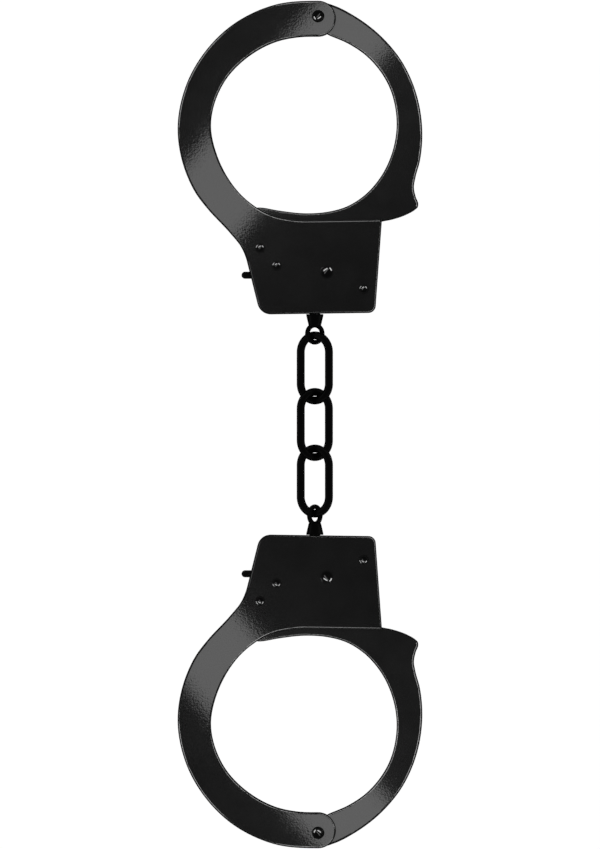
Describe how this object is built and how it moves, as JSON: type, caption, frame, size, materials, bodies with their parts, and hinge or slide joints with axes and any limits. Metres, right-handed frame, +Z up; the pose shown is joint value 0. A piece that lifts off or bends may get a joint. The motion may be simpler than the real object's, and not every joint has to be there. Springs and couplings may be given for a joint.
{
  "type": "handcuffs",
  "caption": "Pair of black hinged-arm handcuffs with double cheek plates, ratchet locks, swivels and a short oval-link chain.",
  "frame": {"origin": "under the middle of the whole, on the surface that the cuffs lie on", "axes": "+Z up from the surface, towards the front cheeks; Y along the chain, with cuff a on the +Y side; +X towards the swing arms"},
  "size_m": [0.0816, 0.2826, 0.0088],
  "materials": {
    "cheeks": "satin black coating",
    "arms": "satin black coating",
    "frames": "satin black coating",
    "rivets": "gloss black coating",
    "swivels": "satin black coating",
    "chain": "semi-gloss black coating",
    "lock_steel": "satin black coating on hardened steel",
    "spring_steel": "oiled spring wire"
  },
  "bodies": {
    "cuff_a": {"front_cheek_a": "cheeks", "rear_cheek_a": "cheeks", "lock_frame_a": "frames", "hinge_rivet_a": "rivets", "frame_rivet_a": "rivets", "pawl_rivet_a": "rivets", "spring_rivet_a": "rivets", "key_post_a": "rivets", "pawl_spring_a": "spring_steel"},
    "arm_a": {"swing_arm_a": "arms"},
    "pawl_a": {"pawl_a": "lock_steel"},
    "swivel_a": {"swivel_a": "swivels"},
    "cuff_b": {"front_cheek_b": "cheeks", "rear_cheek_b": "cheeks", "lock_frame_b": "frames", "hinge_rivet_b": "rivets", "frame_rivet_b": "rivets", "pawl_rivet_b": "rivets", "spring_rivet_b": "rivets", "key_post_b": "rivets", "pawl_spring_b": "spring_steel"},
    "arm_b": {"swing_arm_b": "arms"},
    "pawl_b": {"pawl_b": "lock_steel"},
    "swivel_b": {"swivel_b": "swivels"},
    "link_1": {"chain_link_1": "chain"},
    "link_2": {"chain_link_2": "chain"},
    "link_3": {"chain_link_3": "chain"}
  },
  "joints": [
    {"name": "arm_hinge_a", "type": "hinge", "parent": "cuff_a", "child": "arm_a", "pos_m": [0.00605, 0.1361, 0.0044], "axis": [0, 0, 1], "continuous": true},
    {"name": "pawl_pivot_a", "type": "hinge", "parent": "cuff_a", "child": "pawl_a", "pos_m": [-0.00775, 0.0529, 0.0044], "axis": [0, 0, -1], "range_deg": [0, 5], "stiffness_Nm_per_rad": 0.05, "springref_deg": -17.19, "deforming": ["pawl_spring_a"]},
    {"name": "swivel_turn_a", "type": "hinge", "parent": "cuff_a", "child": "swivel_a", "pos_m": [0.00494, 0.037, 0.0044], "axis": [0, 1, 0], "continuous": true},
    {"name": "chain_bend_1", "type": "hinge", "parent": "swivel_a", "child": "link_1", "pos_m": [0.00494, 0.02973, 0.0044], "axis": [0.8387, 0, 0.5446], "range_deg": [-50, 50]},
    {"name": "chain_bend_2", "type": "hinge", "parent": "link_1", "child": "link_2", "pos_m": [0.00494, 0.00801, 0.0044], "axis": [0.8387, 0, 0.5446], "range_deg": [-50, 50]},
    {"name": "chain_bend_3", "type": "hinge", "parent": "link_2", "child": "link_3", "pos_m": [0.00494, -0.01086, 0.0044], "axis": [0.8387, 0, -0.5446], "range_deg": [-50, 50]},
    {"name": "chain_bend_4", "type": "hinge", "parent": "link_3", "child": "swivel_b", "pos_m": [0.00494, -0.02973, 0.0044], "axis": [0.8387, 0, 0.5446], "range_deg": [-50, 50]},
    {"name": "swivel_turn_b", "type": "hinge", "parent": "swivel_b", "child": "cuff_b", "pos_m": [0.00494, -0.037, 0.0044], "axis": [0, 1, 0], "continuous": true},
    {"name": "arm_hinge_b", "type": "hinge", "parent": "cuff_b", "child": "arm_b", "pos_m": [0.00605, -0.1361, 0.0044], "axis": [0, 0, 1], "continuous": true},
    {"name": "pawl_pivot_b", "type": "hinge", "parent": "cuff_b", "child": "pawl_b", "pos_m": [-0.00775, -0.0529, 0.0044], "axis": [0, 0, 1], "range_deg": [0, 5], "stiffness_Nm_per_rad": 0.05, "springref_deg": -17.19, "deforming": ["pawl_spring_b"]}
  ]
}
